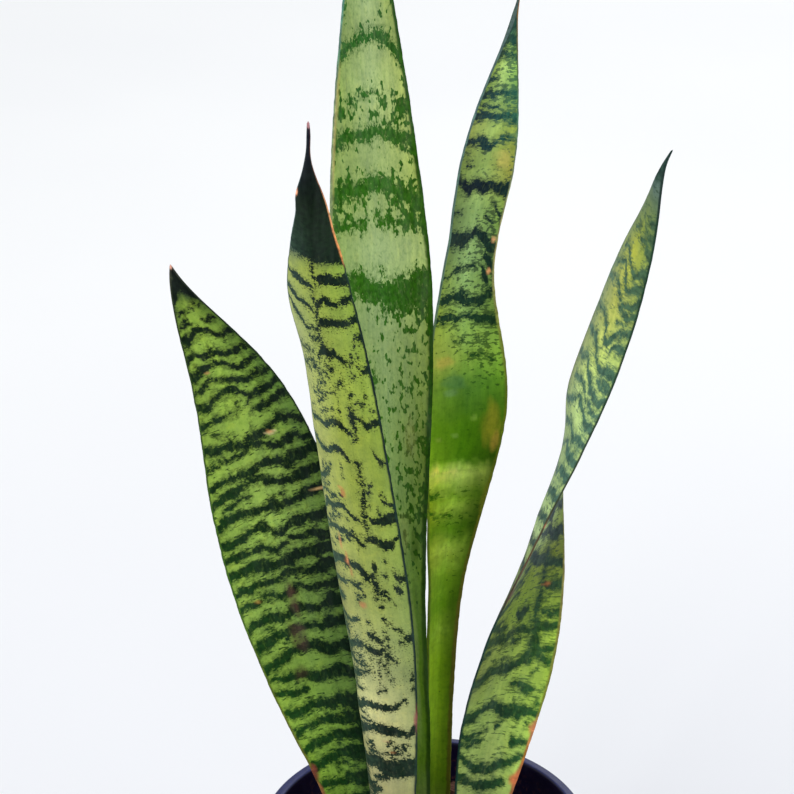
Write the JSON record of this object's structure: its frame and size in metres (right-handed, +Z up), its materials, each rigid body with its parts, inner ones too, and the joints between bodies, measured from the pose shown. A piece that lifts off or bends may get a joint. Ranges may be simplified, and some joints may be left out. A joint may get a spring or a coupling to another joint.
{
  "type": "potted snake plant",
  "caption": "Upright house plant with long stiff banded sword-shaped leaves rising from dark potting mix in a plain tapered round plastic pot.",
  "frame": {"origin": "centre of the pot's underside, on the surface it stands on", "axes": "+Z up along the pot's axis, -Y towards the front of the plant, +X to the right seen from the front"},
  "size_m": [0.2042, 0.1584, 0.5928],
  "materials": {
    "pot": "satin",
    "soil": "matte",
    "leaf_left": "satin",
    "leaf_front": "satin",
    "leaf_center": "satin",
    "leaf_back_right": "satin",
    "leaf_right": "satin",
    "bark_chip_1": "matte",
    "bark_chip_2": "matte",
    "bark_chip_3": "matte",
    "bark_chip_4": "matte",
    "bark_chip_5": "matte",
    "bark_chip_6": "matte",
    "bark_chip_7": "matte",
    "bark_chip_8": "matte",
    "bark_chip_9": "matte",
    "feed_bead_1": "satin",
    "feed_bead_2": "satin",
    "feed_bead_3": "satin",
    "feed_bead_4": "satin"
  },
  "bodies": {
    "root": {"pot": "pot", "soil": "soil", "leaf_left": "leaf_left", "leaf_front": "leaf_front", "leaf_center": "leaf_center", "leaf_back_right": "leaf_back_right", "leaf_right": "leaf_right", "bark_chip_1": "bark_chip_1", "bark_chip_2": "bark_chip_2", "bark_chip_3": "bark_chip_3", "bark_chip_4": "bark_chip_4", "bark_chip_5": "bark_chip_5", "bark_chip_6": "bark_chip_6", "bark_chip_7": "bark_chip_7", "bark_chip_8": "bark_chip_8", "bark_chip_9": "bark_chip_9", "feed_bead_1": "feed_bead_1", "feed_bead_2": "feed_bead_2", "feed_bead_3": "feed_bead_3", "feed_bead_4": "feed_bead_4"}
  },
  "joints": []
}
